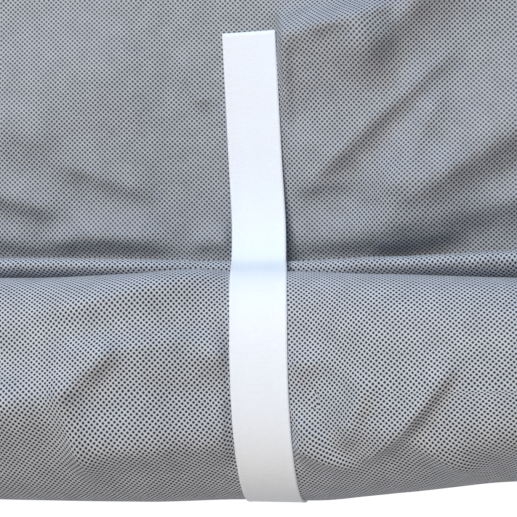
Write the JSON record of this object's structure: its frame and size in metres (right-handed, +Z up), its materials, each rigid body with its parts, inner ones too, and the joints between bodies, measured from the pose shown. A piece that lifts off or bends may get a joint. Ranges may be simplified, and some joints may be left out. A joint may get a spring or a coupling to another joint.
{
  "type": "rolled caravan cover cloth with strap",
  "caption": "Cut length of grey spunbond cover cloth hanging from its top edge, its lower end rolled up towards the front and held by a white woven tape strap.",
  "frame": {"origin": "middle of the hanging cloth's top edge, at its front face", "axes": "+Z up along the hanging cloth, +X along the roll to the viewer's right, -Y towards the viewer, the side on which the cloth is rolled up"},
  "size_m": [0.6, 0.1, 0.3783],
  "materials": {
    "cover_cloth": "matt grey spunbond non-woven cloth with a diamond grid of small bonded dimples",
    "strap": "white woven tape with fine cross ribs and thin edges"
  },
  "bodies": {
    "root": {"cover_cloth": "cover_cloth", "strap": "strap"}
  },
  "joints": []
}
